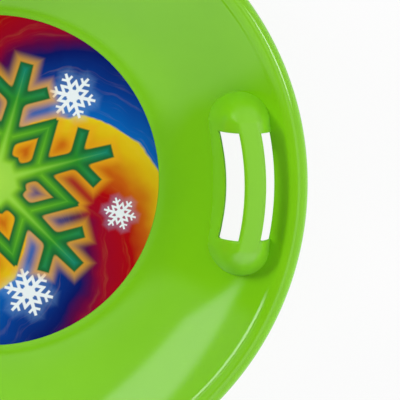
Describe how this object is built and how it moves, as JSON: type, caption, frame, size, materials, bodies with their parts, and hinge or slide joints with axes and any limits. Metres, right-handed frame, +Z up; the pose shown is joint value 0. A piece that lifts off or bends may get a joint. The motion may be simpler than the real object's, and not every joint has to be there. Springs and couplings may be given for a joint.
{
  "type": "saucer sled",
  "caption": "Round shallow plastic saucer sled with a flat floor, a rolled rim, domed hand holds with a grip bar on opposite sides and a printed floor label.",
  "frame": {"origin": "on the ground under the middle of the dish", "axes": "+X towards the right hand hold, +Z up out of the dish"},
  "size_m": [0.59, 0.59, 0.085],
  "materials": {
    "lime_plastic": "gloss",
    "label_print": "gloss"
  },
  "bodies": {
    "root": {"dish": "lime_plastic", "right_handle": "lime_plastic", "left_handle": "lime_plastic", "label": "label_print"}
  },
  "joints": []
}
